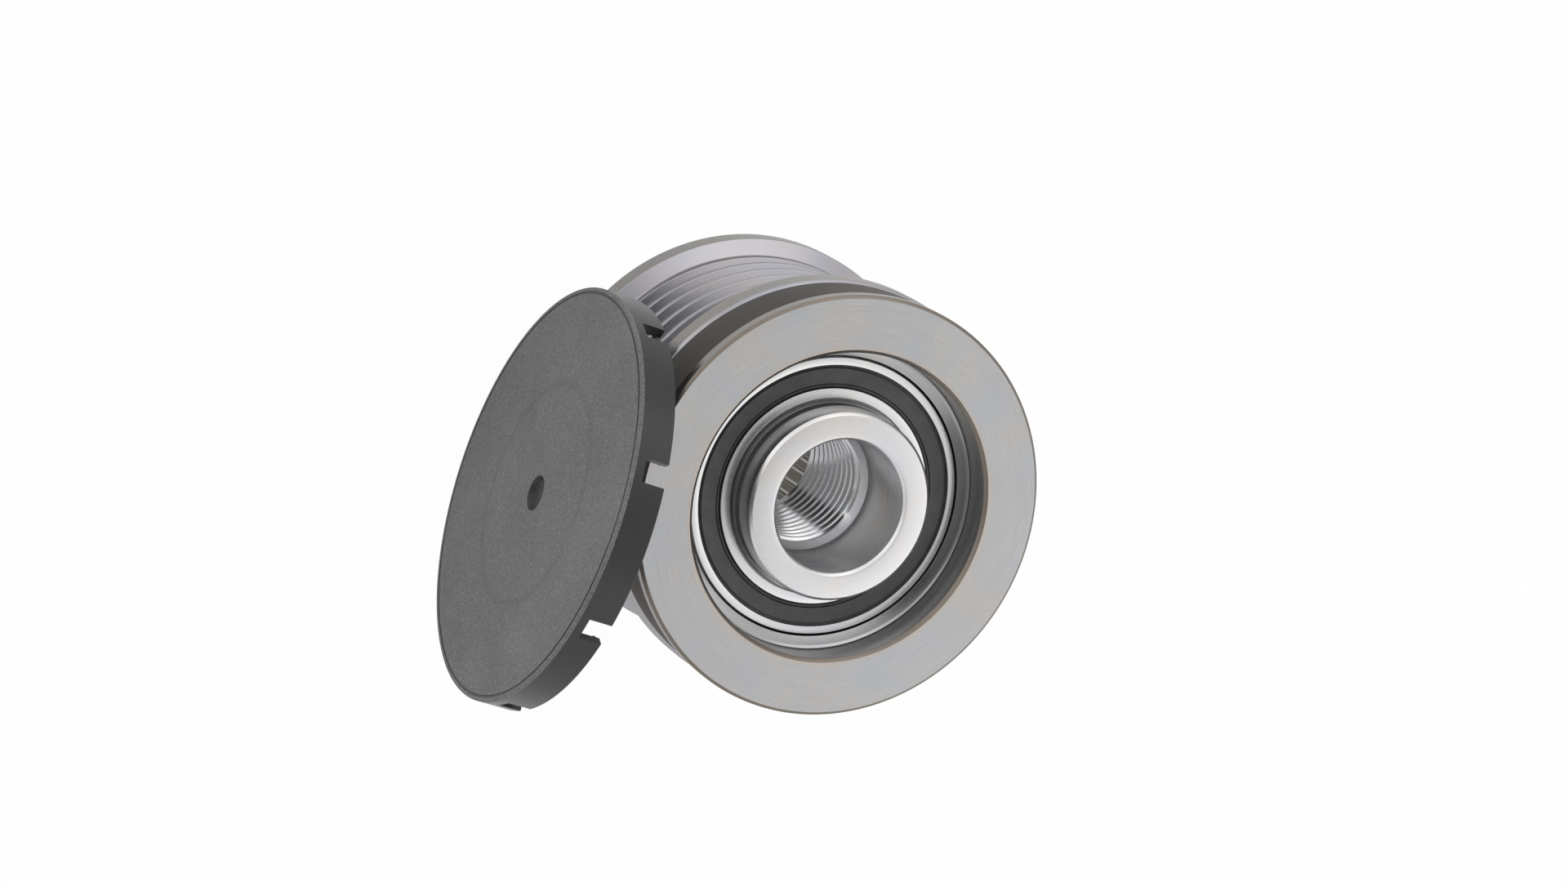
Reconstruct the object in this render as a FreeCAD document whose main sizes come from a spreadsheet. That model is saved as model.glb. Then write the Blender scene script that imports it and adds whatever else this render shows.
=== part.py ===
import FreeCAD, Part
import math
import os
import Sketcher

# Overrunning alternator pulley, standing on its outboard end with its dust cap taken off beside it.
# Millimetres. The axis is Z. The origin is the centre of the hub's face on the alternator's side.
# Profiles are drawn by radius and by depth below the pulley ring's upper face.

SIZES = [
    # hub sleeve: radii
    ("shaft_radius", 8.5),
    ("shaft_edge", 0.32),
    ("thread_fall", 1.31),
    ("serration_fall", 0.1),
    ("slot_depth", 0.8),
    ("hub_wall", 3.8),
    ("collar_fall", 0.3),
    ("collar_edge", 0.34),
    # hub sleeve: depths
    ("face_rise", 0.2),
    ("collar_gap", 1.64),
    ("lead_gap", 0.94),
    ("shaft_end", 11.3),
    ("thread_lead", 1.56),
    ("thread_length", 14.49),
    ("serration_lead", 1.25),
    ("hub_inset", 3.86),
    ("hub_end_edge", 0.6),
    # hub sleeve: toothed socket
    ("serration_count", 33),
    ("serration_turn", 0.0),
    ("slot_mouth_half", 0.62),
    ("slot_root_half", 0.44),
    # bearings
    ("bearing_gap", 0.03),
    ("inner_race_wall", 1.5),
    ("inner_race_edge", 0.35),
    ("outer_race_wall", 1.24),
    ("outer_race_edge", 0.37),
    ("ball_radius", 1.75),
    ("ball_count", 12),
    ("ball_clearance", 0.03),
    ("race_bite", 0.27),
    ("race_slope", 0.4663),
    ("pocket_clearance", 0.06),
    ("ball_cage_rim", 0.54),
    ("ball_cage_wall", 1.45),
    ("cage_play", 0.2),
    # seals
    ("seal_inset", 0.15),
    ("seal_thickness", 0.8),
    ("seal_clearance", 0.06),
    ("seal_band_width", 0.42),
    ("seal_band_depth", 0.5),
    ("lip_fall", 0.14),
    ("lip_width", 0.53),
    ("lip_line_half", 0.09),
    ("lip_line_depth", 0.16),
    # one-way clutch
    ("clutch_gap", 0.2),
    ("clutch_wall", 1.6),
    ("roller_radius", 1.5),
    ("roller_inset", 2.155),
    ("roller_count", 12),
    ("roller_clearance", 0.03),
    ("ramp_slope", 0.07),
    ("ramp_side", 0.9),
    ("ramp_depth", 0.76),
    ("clutch_cage_bore_play", 0.15),
    ("clutch_cage_rim_play", 0.2),
    ("clutch_cage_inset", 0.4),
    ("window_play", 0.15),
    ("spring_space", 1.8),
    ("spring_leaf", 0.3),
    ("spring_bore_play", 0.35),
    ("spring_rim_play", 0.2),
    # pulley ring: inside
    ("mouth_edge", 0.45),
    ("recess_end", 4.7),
    ("recess_step", 1.45),
    ("shoulder_step", 1.1),
    ("shoulder_drop", 0.2),
    ("shoulder_fall", 0.36),
    # pulley ring: radii outside
    ("relief_wall", 3.05),
    ("groove_wall", 2.1),
    ("groove_depth", 2.9),
    ("rim_step", 2.25),
    ("rim_edge", 0.4),
    ("rim_edge_depth", 0.3),
    ("flange_rise", 0.05),
    ("flange_edge", 0.35),
    ("end_flange_fall", 0.2),
    # pulley ring: depths
    ("rim_end", 1.75),
    ("relief_width", 7.0),
    ("flange_width", 3.0),
    ("groove_lead", 0.4945),
    ("groove_count", 6),
    ("groove_pitch", 3.56),
    ("groove_angle", 40),
    ("groove_bottom_half", 0.35),
    ("crest_tail", 0.9445),
    ("end_flange_slope", 1.1),
    ("end_flange_width", 2.95),
    # cap seat on the ring's outboard end
    ("register_step", 0.55),
    ("register_length", 3.21),
    ("register_edge", 0.4),
    ("snap_inset", 2.4),
    ("snap_depth", 0.3),
    ("snap_half", 0.5),
    # dust cap
    ("cap_fit", 0.2),
    ("cap_wall", 1.24),
    ("cap_edge", 0.27),
    ("cap_edge_depth", 0.36),
    ("cap_plate", 1.5),
    ("cap_seat_gap", 0.09),
    ("bead_rise", 0.25),
    ("bead_half", 0.3),
    ("dimple_radius", 2.25),
    ("dimple_taper", 0.25),
    ("dimple_floor", 0.6),
    ("notch_width", 2.9),
    ("notch_floor", 0.05),
    ("notch_count", 8),
    ("notch_turn", 22.5),
    ("cap_side", 11.66),
    ("cap_gap", 1.22),
]

doc = FreeCAD.newDocument("overrunning_pulley")
sheet = doc.addObject("Spreadsheet::Sheet", "dims")
for row, (alias, number) in enumerate(SIZES):
    place = "A%d" % (row + 1)
    sheet.set(place, str(number))
    sheet.setAlias(place, alias)
doc.recompute()


class Size:
    """A length, kept both as a number and as the expression that binds it to the sheet."""

    def __init__(self, text, number):
        self.text = text
        self.number = number

    def joined(self, sign, other, number):
        return Size("(%s %s %s)" % (self.text, sign, other.text), number)

    def __add__(self, other):
        other = as_size(other)
        return self.joined("+", other, self.number + other.number)

    def __sub__(self, other):
        other = as_size(other)
        return self.joined("-", other, self.number - other.number)

    def __mul__(self, other):
        other = as_size(other)
        return self.joined("*", other, self.number * other.number)

    def __truediv__(self, other):
        other = as_size(other)
        return self.joined("/", other, self.number / other.number)


def as_size(value):
    if isinstance(value, Size):
        return value
    return Size("(%.9f)" % value, float(value))


def dim(alias):
    return Size("dims." + alias, float(getattr(sheet, alias)))


def root(size):
    return Size("sqrt(%s)" % size.text, math.sqrt(size.number))


def tangent(degrees):
    return Size("tan(%s * 1 deg)" % degrees.text, math.tan(math.radians(degrees.number)))


# Radii, from the shaft bore outward

thread_radius = dim("shaft_radius") - dim("thread_fall")
serration_radius = dim("shaft_radius") - dim("serration_fall")
serration_root_radius = serration_radius + dim("slot_depth")
hub_radius = dim("shaft_radius") + dim("hub_wall")
collar_radius = hub_radius - dim("collar_fall")
inner_land_radius = hub_radius + dim("inner_race_wall")
land_offset = dim("ball_radius") - dim("race_bite")
pitch_radius = inner_land_radius + land_offset
outer_land_radius = pitch_radius + land_offset
seat_radius = outer_land_radius + dim("outer_race_wall")
shoulder_radius = seat_radius + dim("shoulder_step")
recess_radius = seat_radius + dim("recess_step")
mouth_radius = recess_radius + dim("mouth_edge")
relief_radius = recess_radius + dim("relief_wall")
groove_bottom_radius = recess_radius + dim("groove_wall")
crest_radius = groove_bottom_radius + dim("groove_depth")
register_radius = crest_radius + dim("register_step")
rim_radius = crest_radius + dim("rim_step")
flange_radius = rim_radius + dim("flange_rise")
end_flange_radius = rim_radius - dim("end_flange_fall")

# Depths along the outside, from the ring's upper face down

groove_half = dim("groove_bottom_half") + dim("groove_depth") * tangent(dim("groove_angle") / 2)
relief_end = dim("rim_end") + dim("relief_width")
flange_end = relief_end + dim("flange_width")
groove_start = flange_end + dim("groove_lead") + groove_half
last_groove = groove_start + dim("groove_pitch") * (dim("groove_count") - 1)
crest_end = last_groove + groove_half + dim("crest_tail")
end_flange_start = crest_end + dim("end_flange_slope")
end_flange_end = end_flange_start + dim("end_flange_width")
end = end_flange_end + dim("register_length")

# Depths inside

shoulder_depth = dim("recess_end") + dim("shoulder_drop")
recess_fall = shoulder_depth + dim("shoulder_fall")
ball_cage_half = dim("ball_radius") + dim("pocket_clearance") + dim("ball_cage_rim")
bearing_width = (dim("seal_inset") + dim("seal_thickness") + dim("cage_play") + ball_cage_half) * 2
inboard_top = recess_fall + dim("bearing_gap")
outboard_top = end - inboard_top - bearing_width
collar_end = inboard_top - dim("collar_gap")
lead_end = inboard_top - dim("lead_gap")
thread_start = dim("shaft_end") + dim("thread_lead")
thread_end = thread_start + dim("thread_length")
serration_start = thread_end + dim("serration_lead")
hub_top = dim("face_rise")
hub_end = end - dim("hub_inset")


def origin_feature(body, role):
    for feature in body.Origin.OriginFeatures:
        if feature.Role == role:
            return feature
    raise ValueError(role)


bound_sketches = []


def outline(body, name, plane, points):
    """Closed straight-sided sketch through the points, each held by its two bound distances."""
    sketch = body.newObject("Sketcher::SketchObject", name)
    sketch.AttachmentSupport = [(origin_feature(body, plane), "")]
    sketch.MapMode = "FlatFace"
    places = [(as_size(across), as_size(along)) for across, along in points]
    spots = [FreeCAD.Vector(across.number, along.number, 0) for across, along in places]
    count = len(spots)
    lines = [Part.LineSegment(spots[k], spots[(k + 1) % count]) for k in range(count)]
    sketch.addGeometry(lines, False)
    constraints = [Sketcher.Constraint("Coincident", k, 2, (k + 1) % count, 1) for k in range(count)]
    bindings = []
    for k, (across, along) in enumerate(places):
        for kind, axis, size in (("DistanceX", -2, across), ("DistanceY", -1, along)):
            if abs(size.number) < 1e-9:
                constraints.append(Sketcher.Constraint("PointOnObject", k, 1, axis))
                continue
            bindings.append((len(constraints), size))
            constraints.append(Sketcher.Constraint(kind, -1, 1, k, 1, size.number))
    sketch.addConstraint(constraints)
    for index, size in bindings:
        sketch.setExpression("Constraints[%d]" % index, size.text)
    bound_sketches.append((sketch, bindings))
    return sketch


def new_body(label):
    body = doc.addObject("PartDesign::Body", label)
    body.Label = label
    return body


def turned(label, points):
    """Body of revolution about Z from a (radius, depth) profile."""
    body = new_body(label)
    sketch = outline(body, label + "_profile", "XZ_Plane", points)
    turn = body.newObject("PartDesign::Revolution", label + "_turn")
    turn.Profile = sketch
    turn.ReferenceAxis = (sketch, ["V_Axis"])
    turn.Angle = 360
    sketch.Visibility = False
    doc.recompute()
    return body


def cut_round(body, name, sketch, length, reverse, count):
    """Pocket repeated all round the body's axis; it has to take material away."""
    before = body.Shape.Volume
    pocket = body.newObject("PartDesign::Pocket", name)
    pocket.Profile = sketch
    pocket.Type = "Length"
    pocket.setExpression("Length", length.text)
    pocket.Reversed = reverse
    doc.recompute()
    if body.Shape.Volume > before - 0.01:
        raise ValueError(name + " cuts nothing")
    pattern = body.newObject("PartDesign::PolarPattern", name + "_round")
    pattern.Originals = [pocket]
    pattern.Axis = (origin_feature(body, "Z_Axis"), [""])
    pattern.Angle = 360
    pattern.setExpression("Occurrences", count.text)
    body.Tip = pattern
    doc.recompute()
    return body


DOWN = FreeCAD.Rotation(FreeCAD.Vector(1, 0, 0), 180)


def hang(piece, turn=0.0):
    """Turns a piece drawn by depth so that its depth runs down from the ring's upper face."""
    spin = FreeCAD.Rotation(FreeCAD.Vector(0, 0, 1), turn)
    piece.Placement = FreeCAD.Placement(FreeCAD.Vector(0, 0, dim("face_rise").number), DOWN * spin)
    piece.setExpression("Placement.Base.z", dim("face_rise").text)


pieces = []


def keep(piece):
    pieces.append(piece)
    return piece


# Pulley ring

snap_centre = end - dim("snap_inset")
snap_radius = register_radius - dim("snap_depth")
snap_floor_half = dim("snap_half") - dim("snap_depth")

ring_points = [
    (mouth_radius, 0),
    (rim_radius - dim("rim_edge"), 0),
    (rim_radius, dim("rim_edge_depth")),
    (rim_radius, dim("rim_end")),
    (relief_radius, dim("rim_end")),
    (relief_radius, relief_end),
    (flange_radius - dim("flange_edge"), relief_end),
    (flange_radius, relief_end + dim("flange_edge")),
    (flange_radius, flange_end),
]
for groove in range(int(dim("groove_count").number)):
    centre = groove_start + dim("groove_pitch") * groove
    ring_points += [
        (crest_radius, centre - groove_half),
        (groove_bottom_radius, centre - dim("groove_bottom_half")),
        (groove_bottom_radius, centre + dim("groove_bottom_half")),
        (crest_radius, centre + groove_half),
    ]
ring_points += [
    (crest_radius, crest_end),
    (end_flange_radius, end_flange_start),
    (end_flange_radius, end_flange_end),
    (register_radius, end_flange_end),
    (register_radius, snap_centre - dim("snap_half")),
    (snap_radius, snap_centre - snap_floor_half),
    (snap_radius, snap_centre + snap_floor_half),
    (register_radius, snap_centre + dim("snap_half")),
    (register_radius, end - dim("register_edge")),
    (register_radius - dim("register_edge"), end),
    (mouth_radius, end),
    (recess_radius, end - dim("mouth_edge")),
    (recess_radius, end - dim("recess_end")),
    (shoulder_radius, end - shoulder_depth),
    (seat_radius, end - recess_fall),
    (seat_radius, recess_fall),
    (shoulder_radius, shoulder_depth),
    (recess_radius, dim("recess_end")),
    (recess_radius, dim("mouth_edge")),
]
pulley_ring = keep(turned("pulley_ring", ring_points))
hang(pulley_ring)

# Bearings: outer and inner races, balls, cage and seals, one bearing at each end of the ring's bore

slope = dim("race_slope")
race_reach = (dim("ball_radius") + dim("ball_clearance")) * root(slope * slope + 1)
race_half = (race_reach - land_offset) / slope


def outer_race(label, top):
    bottom = top + bearing_width
    middle = top + bearing_width / 2
    edge = dim("outer_race_edge")
    return turned(label, [
        (outer_land_radius, top),
        (seat_radius - edge, top),
        (seat_radius, top + edge),
        (seat_radius, bottom - edge),
        (seat_radius - edge, bottom),
        (outer_land_radius, bottom),
        (outer_land_radius, middle + race_half),
        (pitch_radius + race_reach, middle),
        (outer_land_radius, middle - race_half),
    ])


def inner_race(label, top):
    bottom = top + bearing_width
    middle = top + bearing_width / 2
    edge = dim("inner_race_edge")
    return turned(label, [
        (hub_radius + edge, top),
        (inner_land_radius, top),
        (inner_land_radius, middle - race_half),
        (pitch_radius - race_reach, middle),
        (inner_land_radius, middle + race_half),
        (inner_land_radius, bottom),
        (hub_radius + edge, bottom),
        (hub_radius, bottom - edge),
        (hub_radius, top + edge),
    ])


def plain_seal(label, top):
    inner = inner_land_radius + dim("seal_clearance")
    return turned(label, [
        (inner, top),
        (outer_land_radius, top),
        (outer_land_radius, top + dim("seal_thickness")),
        (inner, top + dim("seal_thickness")),
    ])


def lipped_seal(label, top):
    """Seal that shows: a sunk outer band and a fine line that parts the lip from the web."""
    inner = inner_land_radius + dim("seal_clearance")
    band = outer_land_radius - dim("seal_band_width")
    fall = dim("lip_fall")
    depth = dim("seal_band_depth")
    line = inner_land_radius + dim("lip_width")
    half = dim("lip_line_half")
    return turned(label, [
        (inner, top + fall),
        (line - half * 2, top + fall / 2),
        (line - half, top),
        (line, top + dim("lip_line_depth")),
        (line + half, top),
        (band, top),
        (band, top + depth),
        (outer_land_radius, top + depth),
        (outer_land_radius, top + dim("seal_thickness")),
        (inner, top + dim("seal_thickness")),
    ])


BALL_SIDES = 12
BALL_BANDS = 6


def ball_faces(centre, radius):
    """Faces of a many-sided ball about the centre, with a corner at each pole."""
    rings = []
    for band in range(1, BALL_BANDS):
        tilt = math.pi * band / BALL_BANDS
        rings.append([
            centre + FreeCAD.Vector(
                radius * math.sin(tilt) * math.cos(2 * math.pi * side / BALL_SIDES),
                radius * math.sin(tilt) * math.sin(2 * math.pi * side / BALL_SIDES),
                radius * math.cos(tilt),
            )
            for side in range(BALL_SIDES)
        ])
    poles = (centre + FreeCAD.Vector(0, 0, radius), centre - FreeCAD.Vector(0, 0, radius))
    corners = []
    for side in range(BALL_SIDES):
        other = (side + 1) % BALL_SIDES
        corners.append([poles[0], rings[0][side], rings[0][other]])
        corners.append([poles[1], rings[-1][other], rings[-1][side]])
        for upper, lower in zip(rings, rings[1:]):
            corners.append([upper[side], lower[side], lower[other], upper[other]])
    return [Part.Face(Part.makePolygon(loop + [loop[0]])) for loop in corners]


def ball_ring(label, top):
    """Set of balls: no primitive gives a ball of few enough faces, so its shape is set here."""
    middle = (top + bearing_width / 2).number
    balls = []
    for k in range(int(dim("ball_count").number)):
        angle = 2 * math.pi * k / dim("ball_count").number
        across = pitch_radius.number * math.cos(angle)
        along = pitch_radius.number * math.sin(angle)
        faces = ball_faces(FreeCAD.Vector(across, along, middle), dim("ball_radius").number)
        balls.append(Part.Solid(Part.Shell(faces)))
    feature = doc.addObject("Part::Feature", label)
    feature.Label = label
    feature.Shape = Part.makeCompound(balls)
    return feature


def ball_cage(label, top):
    """Ring with an eight-sided pocket for each ball."""
    middle = top + bearing_width / 2
    half = ball_cage_half
    body = turned(label, [
        ((pitch_radius - dim("ball_cage_wall") / 2), middle - half),
        ((pitch_radius + dim("ball_cage_wall") / 2), middle - half),
        ((pitch_radius + dim("ball_cage_wall") / 2), middle + half),
        ((pitch_radius - dim("ball_cage_wall") / 2), middle + half),
    ])
    reach = dim("ball_radius") + dim("pocket_clearance")
    corner = reach * math.tan(math.pi / 8)
    sketch = outline(body, label + "_pocket_outline", "YZ_Plane", [
        (reach, middle - corner),
        (reach, middle + corner),
        (corner, middle + reach),
        (corner * -1, middle + reach),
        (reach * -1, middle + corner),
        (reach * -1, middle - corner),
        (corner * -1, middle - reach),
        (corner, middle - reach),
    ])
    length = pitch_radius + dim("ball_cage_wall") / 2 + 1
    cut_round(body, label + "_pocket", sketch, length, True, dim("ball_count"))
    return body


for side, top in (("inboard", inboard_top), ("outboard", outboard_top)):
    upper_seal = top + dim("seal_inset")
    lower_seal = top + bearing_width - dim("seal_inset") - dim("seal_thickness")
    hang(keep(outer_race(side + "_bearing_outer_race", top)))
    hang(keep(inner_race(side + "_bearing_inner_race", top)))
    if side == "inboard":
        hang(keep(lipped_seal(side + "_bearing_outer_seal", upper_seal)))
        hang(keep(plain_seal(side + "_bearing_inner_seal", lower_seal)))
    else:
        hang(keep(plain_seal(side + "_bearing_inner_seal", upper_seal)))
        hang(keep(plain_seal(side + "_bearing_outer_seal", lower_seal)))
    hang(keep(ball_ring(side + "_bearing_balls", top)))
    hang(keep(ball_cage(side + "_bearing_cage", top)))

# Hub sleeve: shaft bore, thread bore and the serration for the fitting tool

hub_sleeve = keep(turned("hub_sleeve", [
    (dim("shaft_radius") + dim("shaft_edge"), hub_top),
    (collar_radius - dim("collar_edge"), hub_top),
    (collar_radius, hub_top + dim("collar_edge")),
    (collar_radius, collar_end),
    (hub_radius, lead_end),
    (hub_radius, hub_end - dim("hub_end_edge")),
    (hub_radius - dim("hub_end_edge"), hub_end),
    (serration_root_radius + dim("shaft_edge"), hub_end),
    (serration_radius, hub_end - dim("shaft_edge") - serration_root_radius
        + serration_radius),
    (serration_radius, serration_start),
    (thread_radius, thread_end),
    (thread_radius, thread_start),
    (dim("shaft_radius"), dim("shaft_end")),
    (dim("shaft_radius"), hub_top + dim("shaft_edge")),
]))
slot = outline(hub_sleeve, "serration_slot", "XY_Plane", [
    (serration_radius - 0.6, dim("slot_mouth_half")),
    (serration_root_radius, dim("slot_root_half")),
    (serration_root_radius, dim("slot_root_half") * -1),
    (serration_radius - 0.6, dim("slot_mouth_half") * -1),
])
slot.setExpression("AttachmentOffset.Base.z", (hub_end + 1).text)
doc.recompute()
slot_length = hub_end + 1 - serration_start
cut_round(hub_sleeve, "serration", slot, slot_length, False, dim("serration_count"))
hang(hub_sleeve, dim("serration_turn").number)

# One-way clutch between the bearings: plain outer ring, ramped inner ring, rollers, cage and springs

clutch_top = inboard_top + bearing_width + dim("clutch_gap")
clutch_end = outboard_top - dim("clutch_gap")
clutch_bore_radius = seat_radius - dim("clutch_wall")
roller_circle = clutch_bore_radius - dim("roller_radius") - dim("roller_clearance")
roller_top = clutch_top + dim("roller_inset")
roller_end = clutch_end - dim("roller_inset")
roller_length = roller_end - roller_top
ramp_floor = roller_circle - dim("roller_radius") - dim("roller_clearance")
ramp_half = dim("roller_radius") + dim("ramp_side")
ramp_ring_radius = ramp_floor + dim("ramp_depth")
clutch_cage_inner = ramp_ring_radius + dim("clutch_cage_bore_play")
clutch_cage_outer = clutch_bore_radius - dim("clutch_cage_rim_play")
spring_side = dim("roller_radius") + dim("spring_space")
spring_inner = clutch_cage_inner + dim("spring_bore_play")
spring_outer = clutch_cage_outer - dim("spring_rim_play")

hang(keep(turned("clutch_outer_ring", [
    (clutch_bore_radius, clutch_top),
    (seat_radius, clutch_top),
    (seat_radius, clutch_end),
    (clutch_bore_radius, clutch_end),
])))

clutch_inner_ring = keep(turned("clutch_inner_ring", [
    (hub_radius, clutch_top),
    (ramp_ring_radius, clutch_top),
    (ramp_ring_radius, clutch_end),
    (hub_radius, clutch_end),
]))
ramp_lift = ramp_half * dim("ramp_slope")
ramp = outline(clutch_inner_ring, "ramp", "XY_Plane", [
    (ramp_floor - ramp_lift, ramp_half * -1),
    (ramp_floor + ramp_lift, ramp_half),
    (ramp_ring_radius + 1, ramp_half),
    (ramp_ring_radius + 1, ramp_half * -1),
])
ramp.setExpression("AttachmentOffset.Base.z", (clutch_end + 1).text)
doc.recompute()
cut_round(clutch_inner_ring, "ramps", ramp, clutch_end - clutch_top + 2, False, dim("roller_count"))
hang(clutch_inner_ring)

rollers = []
for k in range(int(dim("roller_count").number)):
    angle = 2 * math.pi * k / dim("roller_count").number
    roller = doc.addObject("Part::Prism", "roller_%d" % (k + 1))
    roller.Polygon = 16
    roller.setExpression("Circumradius", dim("roller_radius").text)
    roller.setExpression("Height", roller_length.text)
    roller.setExpression("Placement.Base.x", (roller_circle * math.cos(angle)).text)
    roller.setExpression("Placement.Base.y", (roller_circle * math.sin(angle)).text)
    roller.setExpression("Placement.Base.z", roller_top.text)
    rollers.append(roller)
clutch_rollers = doc.addObject("Part::Compound", "clutch_rollers")
clutch_rollers.Label = "clutch_rollers"
clutch_rollers.Links = rollers
hang(keep(clutch_rollers))

clutch_cage = keep(turned("clutch_cage", [
    (clutch_cage_inner, clutch_top + dim("clutch_cage_inset")),
    (clutch_cage_outer, clutch_top + dim("clutch_cage_inset")),
    (clutch_cage_outer, clutch_end - dim("clutch_cage_inset")),
    (clutch_cage_inner, clutch_end - dim("clutch_cage_inset")),
]))
window = outline(clutch_cage, "window", "YZ_Plane", [
    (spring_side * -1, roller_top - dim("window_play")),
    (dim("roller_radius") + dim("window_play"), roller_top - dim("window_play")),
    (dim("roller_radius") + dim("window_play"), roller_end + dim("window_play")),
    (spring_side * -1, roller_end + dim("window_play")),
])
window_reach = clutch_cage_outer + 1
cut_round(clutch_cage, "windows", window, window_reach, True, dim("roller_count"))
hang(clutch_cage)

clutch_springs = keep(new_body("clutch_springs"))
clutch_springs.AllowCompound = True
roller_flank = (dim("roller_radius") + 0.02) * -1
post_flank = spring_side * -1 + 0.02
fold = (roller_flank + post_flank) / 2
leaf = outline(clutch_springs, "leaf", "XY_Plane", [
    (spring_inner, post_flank),
    (spring_outer, fold),
    (spring_inner, roller_flank),
    (spring_inner, roller_flank - dim("spring_leaf")),
    (spring_outer - dim("spring_leaf") * 2, fold),
    (spring_inner, post_flank + dim("spring_leaf")),
])
leaf.setExpression("AttachmentOffset.Base.z", (roller_top + 1).text)
leaf_pad = clutch_springs.newObject("PartDesign::Pad", "leaf_pad")
leaf_pad.Profile = leaf
leaf_pad.setExpression("Length", (roller_length - 2).text)
doc.recompute()
leaf_round = clutch_springs.newObject("PartDesign::PolarPattern", "leaf_round")
leaf_round.Originals = [leaf_pad]
leaf_round.Axis = (origin_feature(clutch_springs, "Z_Axis"), [""])
leaf_round.Angle = 360
leaf_round.setExpression("Occurrences", dim("roller_count").text)
clutch_springs.Tip = leaf_round
doc.recompute()
hang(clutch_springs)

# Dust cap, on its edge beside the ring with its open side toward it

cap_inner = register_radius + dim("cap_fit")
cap_radius = cap_inner + dim("cap_wall")
cap_height = dim("cap_plate") + dim("register_length") - dim("cap_seat_gap")
cap_distance = flange_radius + dim("cap_gap") + cap_height
dimple_depth = dim("cap_plate") - dim("dimple_floor")
bead_centre = dim("cap_plate") + dim("snap_inset")
dust_cap = keep(turned("dust_cap", [
    (0, dimple_depth),
    (dim("dimple_radius") - dim("dimple_taper"), dimple_depth),
    (dim("dimple_radius"), 0),
    (cap_radius - dim("cap_edge"), 0),
    (cap_radius, dim("cap_edge_depth")),
    (cap_radius, cap_height),
    (cap_inner, cap_height),
    (cap_inner, bead_centre + dim("bead_half")),
    (cap_inner - dim("bead_rise"), bead_centre),
    (cap_inner, bead_centre - dim("bead_half")),
    (cap_inner, dim("cap_plate")),
    (0, dim("cap_plate")),
]))
notch = outline(dust_cap, "notch", "YZ_Plane", [
    (dim("notch_width") / -2, dim("cap_plate") + dim("notch_floor")),
    (dim("notch_width") / 2, dim("cap_plate") + dim("notch_floor")),
    (dim("notch_width") / 2, cap_height + 1),
    (dim("notch_width") / -2, cap_height + 1),
])
cut_round(dust_cap, "notches", notch, cap_radius + 1, True, dim("notch_count"))
upright = FreeCAD.Rotation(FreeCAD.Vector(1, 0, 0), -90)
notch_spin = FreeCAD.Rotation(FreeCAD.Vector(0, 0, 1), dim("notch_turn").number)
dust_cap.Placement = FreeCAD.Placement(FreeCAD.Vector(0, 0, 0), upright * notch_spin)
dust_cap.setExpression("Placement.Base.x", dim("cap_side").text)
dust_cap.setExpression("Placement.Base.y", (cap_distance * -1).text)
dust_cap.setExpression("Placement.Base.z", (dim("face_rise") - end + cap_radius).text)

doc.recompute()

for item in doc.Objects:
    for state in item.State:
        if state in ("Invalid", "Error"):
            raise ValueError(item.Label + " is " + state)
for sketch, bindings in bound_sketches:
    for index, size in bindings:
        if abs(abs(sketch.Constraints[index].Value) - abs(size.number)) > 1e-6:
            raise ValueError(sketch.Label + " has a distance that differs from its size")
for piece in pieces:
    if piece.Shape.isNull() or not piece.Shape.isValid():
        raise ValueError(piece.Label + " has no valid shape")

os.makedirs("parts", exist_ok=True)
for piece in pieces:
    piece.Shape.exportStep("parts/" + piece.Label + ".step")
    print(piece.Label, len(piece.Shape.Solids), round(piece.Shape.Volume, 2))
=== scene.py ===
import math

import bmesh
import bpy
from mathutils import Matrix, Vector


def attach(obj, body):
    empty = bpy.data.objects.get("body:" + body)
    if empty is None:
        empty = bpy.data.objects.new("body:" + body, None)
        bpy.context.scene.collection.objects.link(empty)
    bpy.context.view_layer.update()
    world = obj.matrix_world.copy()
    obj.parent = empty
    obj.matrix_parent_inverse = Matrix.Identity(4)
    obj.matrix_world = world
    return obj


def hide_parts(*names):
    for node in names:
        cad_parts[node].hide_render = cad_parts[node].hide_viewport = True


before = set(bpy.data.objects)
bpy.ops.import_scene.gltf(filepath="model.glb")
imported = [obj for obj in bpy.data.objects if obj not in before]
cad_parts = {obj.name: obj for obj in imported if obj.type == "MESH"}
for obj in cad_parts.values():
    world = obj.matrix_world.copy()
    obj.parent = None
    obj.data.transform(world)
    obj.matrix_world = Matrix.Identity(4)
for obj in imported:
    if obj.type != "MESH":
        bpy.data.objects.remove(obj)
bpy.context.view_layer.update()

# Frame: the pulley's axis is Z and the hub's upper face is z = 0. Sizes below are in millimetres.

MM = 0.001
TAU = 2 * math.pi

# Mesh settings: radii below the first are on the axis, the distances for welding points are in metres,
# an arc takes at most its share of the runs beside it, and edges sharper than the angle stay sharp.
ON_AXIS = 1e-6
WELD = 2e-7
NO_LENGTH = 1e-7
ARC_SHARE = 0.45
SHARP = 32

# The ring's upper face stands this much above the hub's.
RISE = 0.2
LENGTH = 41.06
END = RISE - LENGTH
CAP_RADIUS = 26.44
CAP_X, CAP_Y, CAP_Z = 11.66, -32.59, END + CAP_RADIUS


def down(depth):
    """Height z of a depth below the ring's upper face."""
    return RISE - depth


def at(radius, angle, z):
    """A point in metres from a radius, an angle and a height in millimetres."""
    return (radius * MM * math.cos(angle), radius * MM * math.sin(angle), z * MM)


# Meshes

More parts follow.
